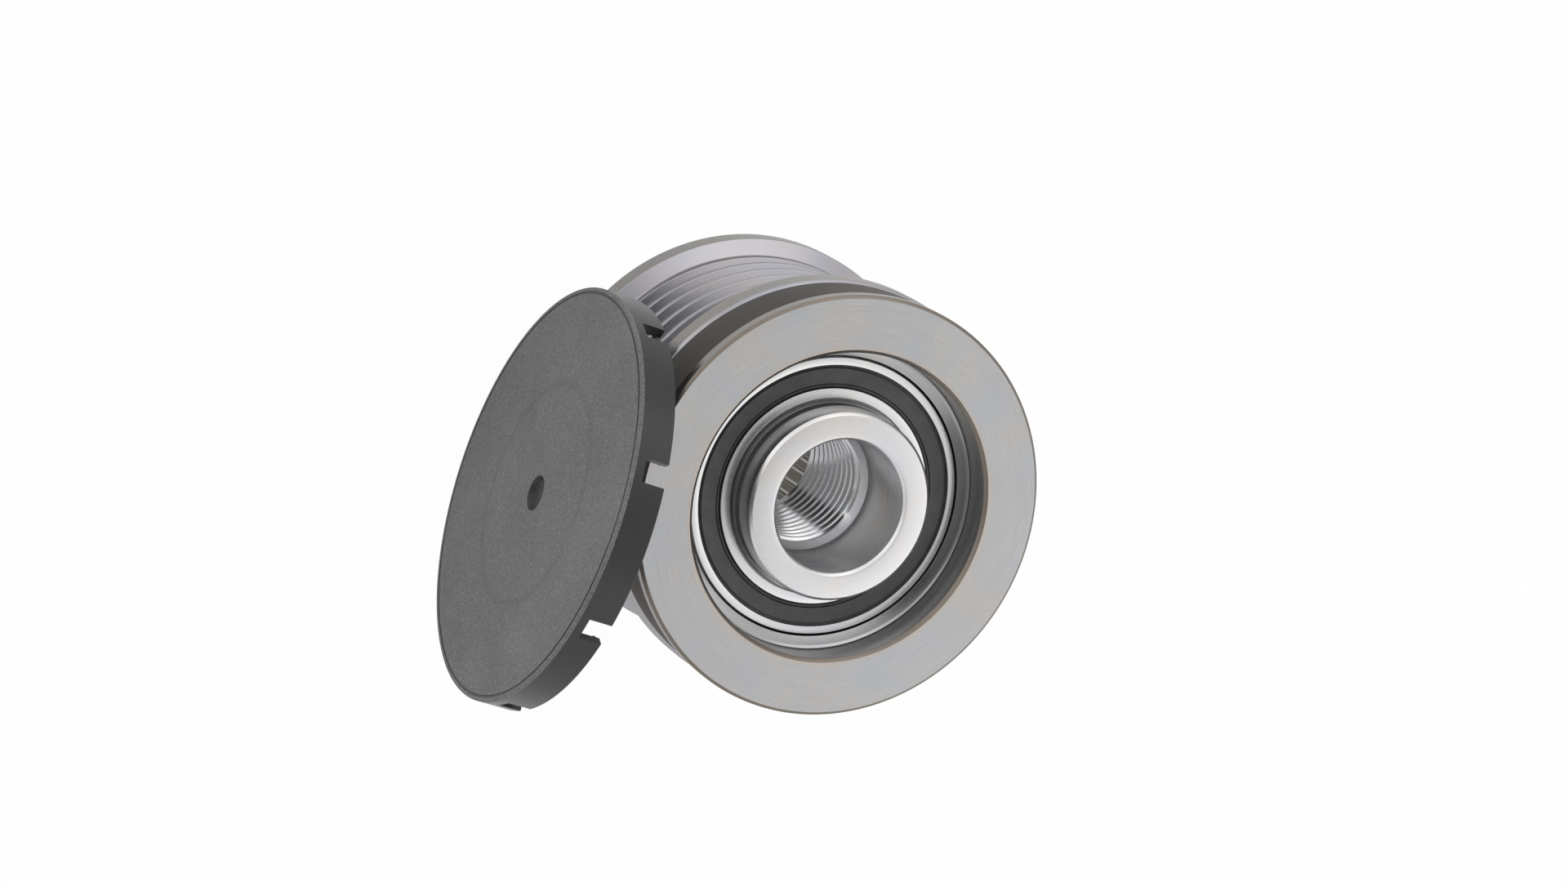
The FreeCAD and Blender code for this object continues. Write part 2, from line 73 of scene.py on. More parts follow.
def softened(points, steps=3):
    """Turns each corner of a profile of (radius, z, fillet, zone) into a small arc.

    The profile is closed. One that isn't has no fillet at its two ends.
    """
    out = []
    for k, (r, z, fillet, zone) in enumerate(points):
        if fillet <= 0:
            out.append((r, z, zone))
            continue
        here = Vector((r, z))
        back = Vector(points[k - 1][:2]) - here
        ahead = Vector(points[(k + 1) % len(points)][:2]) - here
        half_turn = back.angle(ahead) / 2
        reach = min(fillet / math.tan(half_turn), back.length * ARC_SHARE, ahead.length * ARC_SHARE)
        radius = reach * math.tan(half_turn)
        back.normalize()
        ahead.normalize()
        centre = here + (back + ahead).normalized() * (radius / math.sin(half_turn))
        first = math.atan2(*(here + back * reach - centre).yx)
        last = math.atan2(*(here + ahead * reach - centre).yx)
        sweep = (last - first + math.pi) % TAU - math.pi
        for s in range(steps + 1):
            a = first + sweep * s / steps
            # The arc's first face keeps the zone of the run before the corner.
            out.append((centre.x + radius * math.cos(a), centre.y + radius * math.sin(a),
                        points[k - 1][3] if s == 0 else zone))
    return out


def even_normals(obj):
    """Weights the normals by area, so that flat runs stay flat beside their small arcs."""
    weighted = obj.modifiers.new("even_normals", "WEIGHTED_NORMAL")
    weighted.keep_sharp = True
    return weighted


def finish_mesh(name, verts, faces, zones, materials, sharp=SHARP):
    """Makes an object with smooth faces; zones gives each face's material by number."""
    mesh = bpy.data.meshes.new(name)
    mesh.from_pydata(verts, [], faces)
    for poly, zone in zip(mesh.polygons, zones):
        poly.material_index = zone
    bm = bmesh.new()
    bm.from_mesh(mesh)
    bmesh.ops.remove_doubles(bm, verts=bm.verts, dist=WELD)
    bmesh.ops.dissolve_degenerate(bm, edges=bm.edges, dist=NO_LENGTH)
    bmesh.ops.recalc_face_normals(bm, faces=bm.faces)
    for face in bm.faces:
        face.smooth = True
    bm.to_mesh(mesh)
    bm.free()
    mesh.set_sharp_from_angle(angle=math.radians(sharp))
    for material in materials:
        mesh.materials.append(material)
    obj = bpy.data.objects.new(name, mesh)
    bpy.context.scene.collection.objects.link(obj)
    even_normals(obj).weight = 80
    return obj


def lathe(name, points, materials, sides=256, steps=3):
    """Turns a closed profile of (radius, z, fillet, zone) round Z; a zone numbers a material."""
    profile = softened(points, steps)
    verts, rows = [], []
    for r, z, _ in profile:
        if r < ON_AXIS:
            rows.append([len(verts)] * sides)
            verts.append((0, 0, z * MM))
        else:
            rows.append(list(range(len(verts), len(verts) + sides)))
            verts += [at(r, TAU * i / sides, z) for i in range(sides)]
    faces, zones = [], []
    for j, (_, _, zone) in enumerate(profile):
        upper, lower = rows[j], rows[(j + 1) % len(rows)]
        for i in range(sides):
            n = (i + 1) % sides
            corners = list(dict.fromkeys((upper[i], upper[n], lower[n], lower[i])))
            if len(corners) > 2:
                faces.append(corners)
                zones.append(zone)
    return finish_mesh(name, verts, faces, zones, materials)


# Materials

class Graph:
    """A new node tree for a material or the world, with short names for its few kinds of node."""

    def __init__(self, owner):
        owner.use_nodes = True
        self.tree = owner.node_tree
        self.tree.nodes.clear()

    def feed(self, socket, value):
        """Links another node's output to a socket, or sets the socket to a plain value."""
        if isinstance(value, bpy.types.NodeSocket):
            self.tree.links.new(value, socket)
        else:
            socket.default_value = value

    def node(self, kind, **inputs):
        """Adds a node and feeds its inputs; in their names here, _ stands for a space."""
        node = self.tree.nodes.new(kind)
        for name, value in inputs.items():
            self.feed(node.inputs[name.replace("_", " ")], value)
        return node

    def calc(self, operation, *values):
        node = self.tree.nodes.new("ShaderNodeMath")
        node.operation = operation
        for socket, value in zip(node.inputs, values):
            self.feed(socket, value)
        return node.outputs[0]

    def length(self, a, b):
        """Length of the vector (a, b)."""
        squares = [self.calc("MULTIPLY", side, side) for side in (a, b)]
        return self.calc("SQRT", self.calc("ADD", *squares))

    def apart(self, value, centre):
        """Distance of a value from a centre."""
        return self.calc("ABSOLUTE", self.calc("SUBTRACT", value, centre))

    def place(self):
        """Object coordinates in millimetres."""
        scale = self.tree.nodes.new("ShaderNodeVectorMath")
        scale.operation = "SCALE"
        self.feed(scale.inputs[0], self.node("ShaderNodeTexCoord").outputs["Object"])
        self.feed(scale.inputs["Scale"], 1 / MM)
        return scale.outputs[0]

    def split(self, vector):
        return self.node("ShaderNodeSeparateXYZ", Vector=vector).outputs

    def vector(self, x, y, z):
        return self.node("ShaderNodeCombineXYZ", X=x, Y=y, Z=z).outputs[0]

    def noise(self, vector, scale, detail, rough):
        return self.node("ShaderNodeTexNoise", Scale=scale, Detail=detail, Roughness=rough,
                         Vector=vector).outputs["Fac"]

    def span(self, value, a, b, low=0.0, high=1.0):
        """Maps a to low and b to high, and holds the ends."""
        return self.node("ShaderNodeMapRange", From_Min=a, From_Max=b, To_Min=low, To_Max=high,
                         Value=value).outputs["Result"]

    def mix(self, factor, *colors):
        node = self.tree.nodes.new("ShaderNodeMix")
        node.data_type = "RGBA"
        self.feed(node.inputs["Factor"], factor)
        for socket, color in zip(node.inputs[6:8], colors):
            self.feed(socket, (*color, 1) if isinstance(color, tuple) else color)
        return node.outputs[2]

    def bump(self, height, distance):
        return self.node("ShaderNodeBump", Distance=distance, Strength=1.0,
                         Height=height).outputs["Normal"]


def new_material(name):
    """A material, its node tree and its shader, wired to the output."""
    material = bpy.data.materials.new(name)
    g = Graph(material)
    shader = g.node("ShaderNodeBsdfPrincipled")
    g.node("ShaderNodeOutputMaterial", Surface=shader.outputs["BSDF"])
    return material, g, shader


def scaled(color, *factors):
    """A colour times one factor, or times one for each channel."""
    return tuple(min(1, c * f) for c, f in zip(color, factors if len(factors) > 1 else factors * 3))


# The range that most of a noise's values lie in, and the warm tint of the steel.
MOST = (0.3, 0.7)
WARM = (0.55, 0.43, 0.31)


def turned_steel(name, color, roughness, groove, tint=WARM, bands=(), cool=(0.9, 0.95, 1.08),
                 ground=False, warmth=0.0, contrast=0.06):
    """Machined steel: fine tool marks, uneven tone, and bands of warm tint along some edges.

    The marks run in rings about Z, or on a ground face nearly straight out from the axis.
    groove is their depth in hundredths of a millimetre. A band is (radius, half width, strength).
    """
    material, g, shader = new_material(name)
    place = g.place()
    x, y, z = g.split(place)
    radius = g.length(x, y)
    if ground:
        # The pattern changes quickly round the axis and slowly outward.
        quick, slow = 40.0, 0.5
        round_x, round_y = [g.calc("MULTIPLY", g.calc("DIVIDE", side, radius), quick) for side in (x, y)]
        lay = g.vector(round_x, round_y, g.calc("MULTIPLY", radius, slow))
        marks = g.noise(lay, scale=3, detail=4, rough=0.7)
    else:
        # The pattern hardly changes round the axis; it follows the radius and most of the height.
        hardly, most = 0.02, 0.9
        slow_x, slow_y = [g.calc("MULTIPLY", side, hardly) for side in (x, y)]
        track = g.calc("ADD", radius, g.calc("MULTIPLY", z, most))
        marks = g.noise(g.vector(slow_x, slow_y, track), scale=9, detail=4, rough=0.7)
    blotch = g.noise(place, scale=0.12, detail=3, rough=0.6)
    speck = g.noise(place, scale=3.5, detail=4, rough=0.7)
    tone = g.calc("ADD", g.span(marks, *MOST, 0.0, 0.75), g.span(speck, 0.35, 0.65, 0.0, 0.25))
    base = g.mix(tone, scaled(color, 1 - contrast), scaled(color, 1 + contrast))
    base = g.mix(g.span(blotch, 0.4, 0.7, 0.0, 0.45), base, scaled(color, *cool))
    if warmth:
        warm = g.noise(g.vector(y, z, x), scale=0.09, detail=2, rough=0.5)
        base = g.mix(g.span(warm, 0.42, 0.66, 0.0, warmth), base, tint)
    for centre, half_width, strength in bands:
        base = g.mix(g.span(g.apart(radius, centre), 0.0, half_width, strength, 0.0), base, tint)
    g.feed(shader.inputs["Base Color"], base)
    g.feed(shader.inputs["Metallic"], 1)
    g.feed(shader.inputs["Roughness"], g.span(marks, *MOST, roughness * 0.85, roughness * 1.15))
    g.feed(shader.inputs["Normal"], g.bump(marks, groove * 0.01 * MM))
    return material


def seal_rubber():
    material, g, shader = new_material("seal_black_rubber")
    place = g.place()
    grain = g.noise(place, scale=14, detail=4, rough=0.6)
    patch = g.noise(place, scale=0.5, detail=2, rough=0.5)
    g.feed(shader.inputs["Base Color"],
           g.mix(g.span(patch, *MOST), (0.072, 0.072, 0.073), (0.096, 0.096, 0.097)))
    g.feed(shader.inputs["Roughness"], g.span(grain, *MOST, 0.42, 0.6))
    g.feed(shader.inputs["Normal"], g.bump(grain, 0.006 * MM))
    return material


# The faint round flow mark on the cap's face: its radius and half its width.
FLOW_MARK = 14.0
FLOW_HALF = 0.8


def cap_plastic(name, low, high, roughness, grain_depth, speckle, flow=0.0):
    """Moulded plastic: slow patches, fine speckled grain and, where flow isn't 0, the flow mark."""
    material, g, shader = new_material(name)
    place = g.place()
    grain = g.noise(place, scale=3, detail=2, rough=0.6)
    patch = g.noise(place, scale=0.08, detail=3, rough=0.6)
    base = g.mix(g.span(patch, *MOST), low, high)
    base = g.mix(g.span(grain, 0.54, 0.66, 0.0, speckle), base, scaled(high, 1.8))
    base = g.mix(g.span(grain, 0.46, 0.34, 0.0, speckle), base, scaled(low, 0.4))
    if flow:
        x, _, z = g.split(place)
        out = g.length(g.calc("SUBTRACT", x, CAP_X), g.calc("SUBTRACT", z, CAP_Z))
        base = g.mix(g.span(g.apart(out, FLOW_MARK), 0.0, FLOW_HALF, flow, 0.0), base, scaled(low, 0.5))
    g.feed(shader.inputs["Base Color"], base)
    g.feed(shader.inputs["Roughness"], g.span(grain, *MOST, roughness * 0.9, roughness * 1.15))
    g.feed(shader.inputs["Normal"], g.bump(grain, grain_depth * MM))
    return material


def cage_plastic():
    material, g, shader = new_material("cage_moulded_plastic")
    patch = g.noise(g.place(), scale=0.4, detail=3, rough=0.6)
    g.feed(shader.inputs["Base Color"], g.mix(patch, (0.5, 0.42, 0.27), (0.62, 0.55, 0.38)))
    g.feed(shader.inputs["Roughness"], g.span(patch, *MOST, 0.42, 0.55))
    return material


# Each steel: name, colour, roughness and depth of the tool marks.
ring_face = turned_steel("ring_face_steel", (0.465, 0.460, 0.455), 0.34, 0.5,
                         bands=((26.52, 0.16, 0.8), (20.12, 0.2, 0.6)),
                         cool=(0.84, 0.93, 1.1), warmth=0.12, contrast=0.13)
ring_rim = turned_steel("ring_rim_steel", (0.30, 0.285, 0.26), 0.3, 0.3)
ring_channel = turned_steel("ring_channel_steel", (0.33, 0.316, 0.298), 0.6, 0.15)
ring_side = turned_steel("ring_side_steel", (0.372, 0.363, 0.384), 0.25, 0.2, warmth=0.12)
ring_recess = turned_steel("ring_recess_steel", (0.38, 0.375, 0.37), 0.24, 0.2)
ring_edge = turned_steel("ring_edge_steel", (0.2, 0.172, 0.145), 0.35, 0.1)
hub_steel = turned_steel("hub_face_steel", (0.7, 0.695, 0.69), 0.28, 0.15,
                         tint=(0.8, 0.68, 0.56), warmth=0.2)
hub_bore = turned_steel("hub_bore_steel", (0.69, 0.68, 0.675), 0.26, 0.1)
hub_thread = turned_steel("hub_thread_steel", (0.63, 0.63, 0.63), 0.13, 0.05)
hub_collar = turned_steel("hub_collar_steel", (0.42, 0.415, 0.41), 0.2, 0.1)
# The near-white steel on the thread's crests and on the cones at its ends is a painted highlight.
hub_painted_highlight = turned_steel("hub_painted_highlight_steel", (0.95, 0.95, 0.945), 0.4, 0.1)
hub_teeth = turned_steel("hub_teeth_steel", (0.62, 0.6, 0.56), 0.3, 0.05)
# The dark steel on the floors of the socket's slots is painted shade.
hub_slot_shade = turned_steel("hub_slot_painted_shade_steel", (0.2, 0.18, 0.15), 0.3, 0.05)
race_steel = turned_steel("race_ground_steel", (0.77, 0.765, 0.755), 0.3, 0.12, ground=True)
ball_steel = turned_steel("ball_polished_steel", (0.75, 0.75, 0.75), 0.08, 0.02)

seal_black = seal_rubber()
# Each plastic of the cap: name, two colours, roughness, depth of the grain, strength of the speckle.
cap_face = cap_plastic("cap_grained_plastic", (0.11, 0.11, 0.111), (0.145, 0.145, 0.146),
                       0.62, 0.05, 0.5, flow=0.25)
cap_skirt = cap_plastic("cap_smooth_plastic", (0.012, 0.012, 0.0125), (0.016, 0.016, 0.0165),
                        0.27, 0.001, 0.1)
cap_gate = cap_plastic("cap_gate_plastic", (0.04, 0.04, 0.041), (0.055, 0.055, 0.056),
                       0.5, 0.02, 0.3)
cage_tan = cage_plastic()

# CAD nodes that stay as they are take the finished materials.

for node, material in (
    ("inboard_bearing_inner_seal", seal_black),
    ("outboard_bearing_inner_seal", seal_black),
    ("outboard_bearing_outer_seal", seal_black),
    ("inboard_bearing_balls", ball_steel),
    ("outboard_bearing_balls", ball_steel),
    ("inboard_bearing_cage", cage_tan),
    ("outboard_bearing_cage", cage_tan),
    ("outboard_bearing_outer_race", race_steel),
    ("outboard_bearing_inner_race", race_steel),
    ("clutch_outer_ring", race_steel),
    ("clutch_inner_ring", race_steel),
    ("clutch_rollers", ball_steel),
    ("clutch_cage", cage_tan),
    ("clutch_springs", hub_steel),
):
    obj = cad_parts[node]
    obj.data.materials.clear()
    obj.data.materials.append(material)


# Pulley ring

FACE, SIDE, RECESS, RIM, CHANNEL, EDGE = range(6)

# The belt grooves: depth of the first one's middle, spacing, radii, half the flat floor, half the mouth.
GROOVES = 6
GROOVE_AT = 13.65
GROOVE_PITCH = 3.56
GROOVE_TOP = 24.45
GROOVE_FLOOR = 21.55
FLAT_HALF = 0.35
GROOVE_HALF = FLAT_HALF + (GROOVE_TOP - GROOVE_FLOOR) * math.tan(math.radians(20))


def ring_profile():
    """From the upper face down the outside, and back up through the bore."""
    points = [
        (19.9, down(0), 0.06, FACE),
        (26.3, down(0), 0.06, EDGE),
        (26.7, down(0.3), 0.1, RIM),
        (26.7, down(1.75), 0.12, CHANNEL),
        (22.5, down(1.75), 0.3, CHANNEL),
        (22.5, down(8.75), 0.3, CHANNEL),
        (26.4, down(8.75), 0.08, SIDE),
        (26.75, down(9.1), 0.1, RIM),
        (26.75, down(11.75), 0.12, SIDE),
    ]
    for k in range(GROOVES):
        middle = GROOVE_AT + GROOVE_PITCH * k
        points += [
            (GROOVE_TOP, down(middle - GROOVE_HALF), 0.14, SIDE),
            (GROOVE_FLOOR, down(middle - FLAT_HALF), 0.22, SIDE),
            (GROOVE_FLOOR, down(middle + FLAT_HALF), 0.22, SIDE),
            (GROOVE_TOP, down(middle + GROOVE_HALF), 0.14, SIDE),
        ]
    # The end flange with its shallow groove, then the bore up to the recess.
    return points + [
        (24.45, down(33.8), 0.3, SIDE),
        (26.5, down(34.9), 0.2, RIM),
        (26.5, down(37.85), 0.15, SIDE),
        (25.0, down(37.85), 0.1, SIDE),
        (25.0, down(38.16), 0.05, SIDE),
        (24.7, down(38.46), 0.05, SIDE),
        (24.7, down(38.86), 0.05, SIDE),
        (25.0, down(39.16), 0.05, SIDE),
        (25.0, down(40.66), 0.1, SIDE),
        (24.6, down(LENGTH), 0.1, FACE),
        (19.9, down(LENGTH), 0.06, FACE),
        (19.45, down(40.61), 0.06, RECESS),
        (19.45, down(36.36), 0.1, RECESS),
        (19.1, down(36.16), 0.1, RECESS),
        (18.0, down(35.8), 0.04, RECESS),
        (18.0, down(5.26), 0.04, RECESS),
        (19.1, down(4.9), 0.1, RECESS),
        (19.45, down(4.7), 0.1, RECESS),
        (19.45, down(0.45), 0.06, EDGE),
    ]


ring = lathe("pulley_ring_turned", ring_profile(),
             [ring_face, ring_side, ring_recess, ring_rim, ring_channel, ring_edge], sides=288)
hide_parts("pulley_ring")
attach(ring, "ring")


# Hub sleeve: one skin with the plain bore, the thread and the toothed socket

TEETH = 33
# Radius of the socket at the sides of one tooth: a wide slot, and the narrow land in its middle.
TOOTH = (9.2, 9.2, 9.17, 8.98, 8.42, 8.4, 8.42, 8.98, 9.17, 9.2)
SIDES = TEETH * len(TOOTH)
# A side between two radii above this is the floor of a slot.
SLOT_FROM = 9.1
# Radius that the chamfer under the socket opens to.
SOCKET_FOOT = 9.52

# The thread: pitch, minor and major radius, the angle at which it starts, and a crest's height there.
PITCH = 1.5
MINOR, MAJOR = 7.19, 8.0
THREAD_AT = math.radians(76.4)
CREST_Z = -12.41

# The plain bore: its radius, the height down to which its edge has the face's finish, its lower end.
BORE = 8.5
FACE_END = -0.03
BORE_END = down(11.3)
# A height too small to see.
NEAR = 0.01
# The thread's mouth: height and radius.
MOUTH_Z, MOUTH = -12.0, 7.745
# The root's radius grows this much per millimetre below the mouth, up to the major radius.
ROOT_SLOPE = 0.35
# The toothed socket: height and radius of its upper end, and the heights of its end and the hub's.
SOCKET_Z, SOCKET_MOUTH = down(28.6), 8.4
SOCKET_END, HUB_END = down(36.6), down(37.2)
# The strip of the thread ends where the cone to the socket has this radius.
STRIP_END = 8.2

# The cones at the thread's two ends: (height, radius, height, radius).
LEAD = (MOUTH_Z, MOUTH, -12.32, MINOR)
RUN_OUT = (SOCKET_Z, SOCKET_MOUTH, down(27.35), MINOR)
STRIP_END_Z = SOCKET_Z + (SOCKET_MOUTH - STRIP_END) * (RUN_OUT[2] - SOCKET_Z) / (SOCKET_MOUTH - MINOR)

# Its section: the crest's bevels, half the crest, the flank's upper and lower end.
BEVEL = 0.13
CREST_HALF = PITCH / 8
SHOULDER = MINOR + BEVEL
FOOT = MAJOR - 0.04
FLANK_HALF = CREST_HALF + (FOOT - SHOULDER) / math.tan(math.radians(64))
MIDWAY = ((CREST_HALF + FLANK_HALF) / 2, (SHOULDER + FOOT) / 2)
# Half a pitch of the thread, from the crest's middle to the root: (distance along the axis, radius).
HALF_THREAD = [(CREST_HALF - BEVEL, MINOR), (CREST_HALF, SHOULDER), MIDWAY, (FLANK_HALF, FOOT)]
THREAD = [(-along, r) for along, r in reversed(HALF_THREAD)] + HALF_THREAD + [(PITCH / 2, MAJOR)]
# Rows of THREAD that start the crest and the bevels on both its sides.
CREST_ROWS = (2, 3, 4)


def cone_radius(z, cone):
    z0, r0, z1, r1 = cone
    return r0 + (z - z0) / (z1 - z0) * (r1 - r0)


def tooth_radius(i):
    """Radius of the toothed socket at side i."""
    return TOOTH[i % len(TOOTH)]


def foot_radius(i):
    """Radius at side i of the chamfer under the socket."""
    return max(tooth_radius(i), SOCKET_FOOT)


def past_start(i):
    """Share of a turn from the thread's start to side i."""
    return ((TAU * (i % SIDES) / SIDES - THREAD_AT) / TAU) % 1.0


def hub_mesh(materials):
    face, bore, thread, teeth, slot_shade, highlight, collar = range(7)
    verts, faces, zones = [], [], []

    def add_row(radius, z):
        """Adds a ring of points; the radius is a number, or a function of the side."""
        start = len(verts)
        for i in range(SIDES):
            verts.append(at(radius(i) if callable(radius) else radius, TAU * i / SIDES, z))
        return list(range(start, start + SIDES))

    def join(upper, lower, zone):
        """Adds the faces between two rings; the zone is a number, or a function of the side."""
        for i in range(SIDES):
            n = (i + 1) % SIDES
            faces.append((upper[i], upper[n], lower[n], lower[i]))
            zones.append(zone(i) if callable(zone) else zone)

    def slot_or_tooth(i):
        # Slot floors take the dark steel, painted shade in the recesses between the teeth.
        return slot_shade if min(tooth_radius(i), tooth_radius(i + 1)) > SLOT_FROM else teeth

    # The face, the collar, the outside and the lower end.
    outside = softened([
        (9.3, 0.0, 0.0, face),
        (11.62, 0.0, 0.06, face),
        (12.0, -0.38, 0.08, collar),
        (12.0, down(3.65), 0.1, collar),
        (12.3, down(4.35), 0.1, collar),
        (12.3, SOCKET_END, 0.1, collar),
        (11.7, HUB_END, 0.08, face),
        (10.4, HUB_END, 0.0, face),
    ])
    rows = [(add_row(r, z), zone) for r, z, zone in outside]
    for (upper, zone), (lower, _) in zip(rows, rows[1:]):
        join(upper, lower, zone)
    first, last = rows[0][0], rows[-1][0]

    # From the face down the plain bore to the thread's mouth.
    inside = softened([
        (9.3, 0.0, 0.0, face),
        (8.82, 0.0, 0.05, face),
        (BORE, -0.32, 0.1, bore),
        (BORE, BORE_END, 0.1, bore),
        (MOUTH, MOUTH_Z, 0.0, thread),
    ])
    upper = first
    for r, z, _ in inside[1:]:
        lower = add_row(r, z)
        # The cone from the plain bore down to the mouth takes the painted highlight steel.
        join(upper, lower, highlight if z < BORE_END - NEAR else bore if z < FACE_END else face)
        upper = lower

    # The thread is a strip wound down the bore, clamped between its mouth and its end.
    mouth_z = inside[-1][1]
    turns = int((mouth_z - STRIP_END_Z) / PITCH) + 3
    strip = [(turn * PITCH + along, r) for turn in range(turns + 1) for along, r in THREAD]
    top = CREST_Z + PITCH * math.ceil((mouth_z - CREST_Z) / PITCH) + PITCH
    rows = []
    on_cone = set()
    for below, r in strip:
        start = len(verts)
        for i in range(SIDES):
            z = min(max(top - below + PITCH * past_start(i), STRIP_END_Z), mouth_z)
            root = MOUTH + max(0.0, MOUTH_Z - z) * ROOT_SLOPE
            here = max(min(r, root), cone_radius(z, LEAD), cone_radius(z, RUN_OUT))
            if z < RUN_OUT[2]:
                on_cone.add(len(verts))
            if z == mouth_z:
                here = MOUTH
            elif z == STRIP_END_Z:
                here = STRIP_END
            verts.append(at(here, TAU * i / SIDES, z))
        rows.append(list(range(start, start + SIDES)))
    # After a whole turn the strip meets its row that is one pitch higher.
    seam = next(i for i in range(SIDES) if past_start(i) > past_start(i + 1))
    for j in range(len(rows) - 1):
        crest = j % len(THREAD) in CREST_ROWS
        for i in range(SIDES):
            n = (i + 1) % SIDES
            k = j if i != seam else j - len(THREAD)
            if k < 0:
                continue
            corners = (rows[j][i], rows[k][n], rows[k + 1][n], rows[j + 1][i])
            faces.append(corners)
            # Crests, their bevels and the lower cone take the painted highlight steel.
            zones.append(highlight if crest or on_cone.issuperset(corners) else thread)

    # The rest of the cone, the toothed socket and its chamfer at the lower end.
    upper = add_row(STRIP_END, STRIP_END_Z)
    for radius, z, zone in (
        # The cone at the socket's mouth takes the painted highlight steel.
        (SOCKET_MOUTH, SOCKET_Z, highlight),
        (tooth_radius, SOCKET_Z - 2 * NEAR, teeth),
        (tooth_radius, SOCKET_END, slot_or_tooth),
        (foot_radius, HUB_END, teeth),
    ):
        lower = add_row(radius, z)
        join(upper, lower, zone)
        upper = lower
    join(upper, last, face)
    return finish_mesh("hub_sleeve_threaded", verts, faces, zones, materials, sharp=14)


hub = hub_mesh([hub_steel, hub_bore, hub_thread, hub_teeth, hub_slot_shade, hub_painted_highlight, hub_collar])
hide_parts("hub_sleeve")
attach(hub, "hub")


# Inboard bearing as it shows in the recess

outer_race = lathe("inboard_outer_race_ground", [
    (16.76, down(5.29), 0.05, 0),
    (17.68, down(5.29), 0.06, 0),
    (17.9, down(5.75), 0.1, 0),
    (18.0, down(6.2), 0.1, 0),
    (18.0, down(11.92), 0.1, 0),
    (17.63, down(12.29), 0.1, 0),
    (16.76, down(12.29), 0.05, 0),
    (16.76, down(9.83), 0.1, 0),
    (17.244, down(8.79), 0.4, 0),
    (16.76, down(7.75), 0.1, 0),
], [race_steel])
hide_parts("inboard_bearing_outer_race")
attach(outer_race, "ring")

inner_race = lathe("inboard_inner_race_ground", [
    (12.65, down(5.29), 0.1, 0),
    (13.8, down(5.29), 0.06, 0),
    (13.8, down(7.75), 0.1, 0),
    (13.316, down(8.79), 0.4, 0),
    (13.8, down(9.83), 0.1, 0),
    (13.8, down(12.29), 0.06, 0),
    (12.65, down(12.29), 0.1, 0),
    (12.3, down(11.94), 0.1, 0),
    (12.3, down(5.64), 0.1, 0),
], [race_steel])
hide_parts("inboard_bearing_inner_race")
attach(inner_race, "hub")

seal = lathe("inboard_seal_lipped", [
    (13.88, down(5.8), 0.02, 0),
    (13.97, down(5.8), 0.02, 0),
    (14.04, down(5.5), 0.04, 0),
    (14.22, down(5.45), 0.04, 0),
    (14.27, down(5.75), 0.02, 0),
    (14.34, down(5.75), 0.02, 0),
    (14.40, down(5.44), 0.05, 0),
    (16.32, down(5.44), 0.06, 0),
    (16.36, down(5.94), 0.03, 0),
    (16.76, down(5.94), 0.03, 0),
    (16.76, down(6.24), 0.03, 0),
    (13.88, down(6.24), 0.03, 0),
], [seal_black])
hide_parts("inboard_bearing_outer_seal")
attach(seal, "ring")


# Dust cap

NOTCHES = 8
# The block that cuts a notch: its middle (radius, height over the cap's face), and its size.
NOTCH_MIDDLE = (25.9 * MM, 0, 3.55 * MM)
NOTCH_SIZE = (3.4 * MM, 2.9 * MM, 4.0 * MM)


def cap_mesh():
    """The cap is turned flat on z = 0, notched, and then stood on its edge beside the pulley."""
    plain, skirt_and_groove_shade, gate = 0, 1, 2
    cap = lathe("dust_cap_moulded", [
        (0, 0.9, 0.0, gate),
        (1.98, 0.9, 0.2, gate),
        (2.25, 0.0, 0.1, plain),
        # The fine groove near the rim takes the dark smooth plastic: painted shade of its small step.
        (25.6, 0.0, 0.06, skirt_and_groove_shade),
        (25.68, 0.12, 0.03, skirt_and_groove_shade),
        (25.84, 0.12, 0.03, skirt_and_groove_shade),
        (25.92, 0.0, 0.06, plain),
        (CAP_RADIUS, 0.0, 0.36, plain),
        (CAP_RADIUS, 0.4, 0.0, skirt_and_groove_shade),
        (CAP_RADIUS, 1.55, 0.0, skirt_and_groove_shade),
        (CAP_RADIUS, 4.62, 0.12, skirt_and_groove_shade),
        (25.2, 4.62, 0.12, skirt_and_groove_shade),
        (25.2, 4.2, 0.05, skirt_and_groove_shade),
        (24.95, 3.9, 0.1, skirt_and_groove_shade),
        (25.2, 3.6, 0.05, skirt_and_groove_shade),
        (25.2, 1.55, 0.0, skirt_and_groove_shade),
        (25.2, 1.5, 0.0, plain),
        (0, 1.5, 0.0, plain),
    ], [cap_face, cap_skirt, cap_gate], steps=4)
    cap.modifiers.clear()
    cutters = bmesh.new()
    for k in range(NOTCHES):
        turn = Matrix.Rotation(TAU * (k + 0.5) / NOTCHES, 4, "Z")
        block = Matrix.Translation(NOTCH_MIDDLE) @ Matrix.Diagonal((*NOTCH_SIZE, 1))
        bmesh.ops.create_cube(cutters, size=1, matrix=turn @ block)
    mesh = bpy.data.meshes.new("notch_cutters")
    cutters.to_mesh(mesh)
    cutters.free()
    mesh.materials.append(cap_skirt)
    tool = bpy.data.objects.new("notch_cutters", mesh)
    bpy.context.scene.collection.objects.link(tool)
    cut = cap.modifiers.new("notches", "BOOLEAN")
    cut.operation = "DIFFERENCE"
    cut.solver = "EXACT"
    cut.object = tool
    bpy.context.view_layer.update()
    notched = bpy.data.meshes.new_from_object(cap.evaluated_get(bpy.context.evaluated_depsgraph_get()))
    cap.modifiers.clear()
    plain_mesh = cap.data
    cap.data = notched
    bpy.data.meshes.remove(plain_mesh)
    bpy.data.objects.remove(tool)
    notched.set_sharp_from_angle(angle=math.radians(SHARP))
    upright = Matrix.Rotation(math.radians(-90), 4, "X")
    notched.transform(Matrix.Translation((CAP_X * MM, CAP_Y * MM, CAP_Z * MM)) @ upright)
    even_normals(cap)
    return cap


cap = cap_mesh()
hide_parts("dust_cap")
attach(cap, "ring")


# Floor

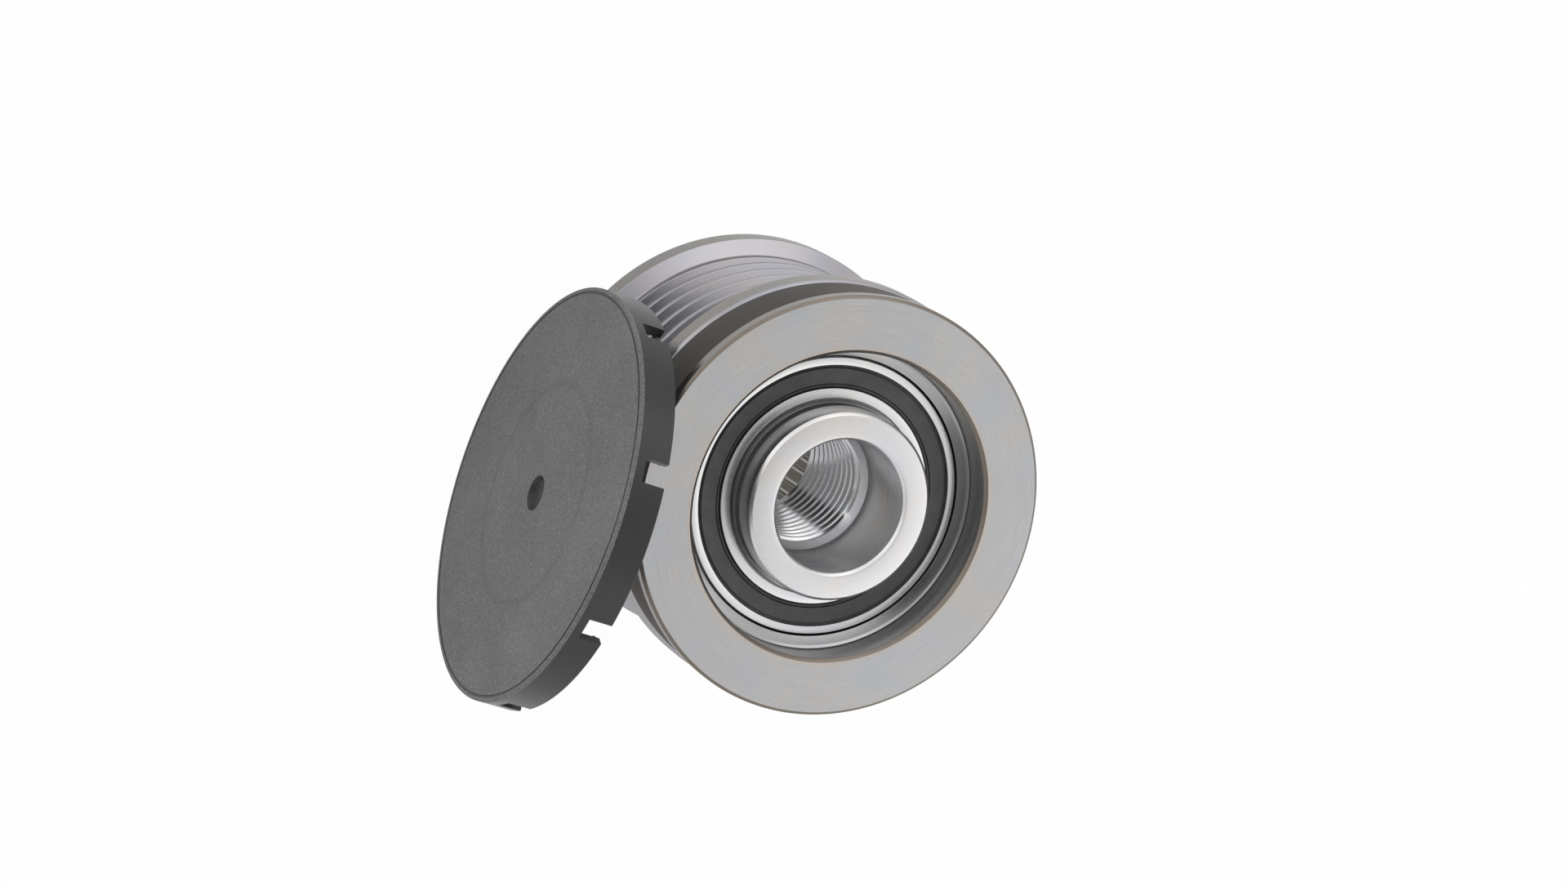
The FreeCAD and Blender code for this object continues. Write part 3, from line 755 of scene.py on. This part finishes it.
WHITE = (1, 1, 1, 1)
FLOOR_PAINT = (0.9, 0.9, 0.9, 1)
FLOOR_REACH = 3.0
# It lies this far under the pulley, so that the two surfaces never coincide.
FLOOR_GAP = 0.02
# How bright the floor is to the camera and, next, to metal and glass; 1 is white.
FLOOR_GLOW = 0.97
FLOOR_GLOSS = 0.42


def mix_shaders(g, factor, first, second):
    """Mixes two shaders; a factor of 1 gives the second one."""
    mixed = g.node("ShaderNodeMixShader", Fac=factor)
    g.feed(mixed.inputs[1], first.outputs[0])
    g.feed(mixed.inputs[2], second.outputs[0])
    return mixed.outputs[0]


floor_mesh = bpy.data.meshes.new("floor")
floor_mesh.from_pydata([(x * FLOOR_REACH, y * FLOOR_REACH, (END - FLOOR_GAP) * MM)
                        for x, y in ((-1, -1), (1, -1), (1, 1), (-1, 1))], [], [(0, 1, 2, 3)])
floor = bpy.data.objects.new("floor", floor_mesh)
bpy.context.scene.collection.objects.link(floor)
floor_material = bpy.data.materials.new("pale_floor")
g = Graph(floor_material)
path = g.node("ShaderNodeLightPath").outputs
direct = g.calc("MULTIPLY", path["Is Camera Ray"], FLOOR_GLOW)
mirrored = g.calc("MAXIMUM", path["Is Glossy Ray"], path["Is Transmission Ray"])
shown = g.calc("MAXIMUM", direct, g.calc("MULTIPLY", mirrored, FLOOR_GLOSS))
matte = g.node("ShaderNodeBsdfDiffuse", Color=FLOOR_PAINT)
glow = g.node("ShaderNodeEmission", Color=WHITE, Strength=1.0)
g.node("ShaderNodeOutputMaterial", Surface=mix_shaders(g, shown, matte, glow))
floor_mesh.materials.append(floor_material)


# World: an even tent of light with soft dimmer and brighter patches; the camera sees white

TENT_LEVEL = 0.95
# Direction, inner and outer angle in degrees, and the level inside; it fades to 1 at the outer angle.
PATCHES = (
    ((-0.28, -0.27, 0.92), 9.5, 13, 0.05),
    ((0.3, -0.35, 0.887), 25, 34, 0.3),
    ((0.0, 0.1, 0.995), 8, 38, 0.5),
    ((-0.75, 0.05, 0.66), 12, 42, 1.5),
    ((0.15, 0.78, 0.6), 15, 50, 1.6),
    ((-0.2, -0.9, 0.4), 15, 40, 1.4),
    ((-0.5, 0.45, 0.75), 8, 22, 0.75),
)

world = bpy.data.worlds.new("studio")
bpy.context.scene.world = world
g = Graph(world)
toward = g.node("ShaderNodeTexCoord").outputs["Generated"]
level = TENT_LEVEL
for direction, inner, outer, inside in PATCHES:
    dot = g.tree.nodes.new("ShaderNodeVectorMath")
    dot.operation = "DOT_PRODUCT"
    g.feed(dot.inputs[0], toward)
    g.feed(dot.inputs[1], Vector(direction).normalized())
    cone = g.node("ShaderNodeMapRange", Value=dot.outputs["Value"],
                  From_Min=math.cos(math.radians(outer)), From_Max=math.cos(math.radians(inner)),
                  To_Min=1.0, To_Max=inside)
    cone.interpolation_type = "SMOOTHSTEP"
    level = g.calc("MULTIPLY", level, cone.outputs[0])
tent = g.node("ShaderNodeBackground", Color=WHITE, Strength=level)
backdrop = g.node("ShaderNodeBackground", Color=WHITE, Strength=1.0)
seen = g.node("ShaderNodeLightPath").outputs["Is Camera Ray"]
g.node("ShaderNodeOutputWorld", Surface=mix_shaders(g, seen, tent, backdrop))


# Lamp, in metres and watts

LAMP_PLACE = (-0.6, 0.1, 0.45)
LAMP_SIDE = 0.5
LAMP_POWER = 0.25

light = bpy.data.lights.new("key", "AREA")
light.shape = "RECTANGLE"
light.size, light.size_y = LAMP_SIDE, LAMP_SIDE
light.energy = LAMP_POWER
lamp = bpy.data.objects.new("key", light)
bpy.context.scene.collection.objects.link(lamp)
lamp.location = LAMP_PLACE
lamp.rotation_mode = "QUATERNION"
lamp.rotation_quaternion = (-Vector(LAMP_PLACE)).to_track_quat("-Z", "Y")


# Camera, fitted to the photograph: its place in metres, and the directions of its right, up and back

CAMERA_PLACE = (-0.060244, -0.236414, 0.461148)
RIGHT = (-0.355477, 0.855280, 0.377005)
UP = (-0.928687, -0.277568, -0.245960)
BACK = (-0.105720, -0.437553, 0.892956)

camera_data = bpy.data.cameras.new("camera")
camera_data.sensor_width = 36
camera_data.lens = 97.5
camera_data.clip_start = 0.01
camera_data.clip_end = 20
camera = bpy.data.objects.new("camera", camera_data)
bpy.context.scene.collection.objects.link(camera)
bpy.context.scene.camera = camera
axes = Matrix((RIGHT, UP, BACK)).transposed()
camera.matrix_world = Matrix.Translation(CAMERA_PLACE) @ axes.to_4x4()

bpy.context.scene.view_settings.view_transform = "Standard"
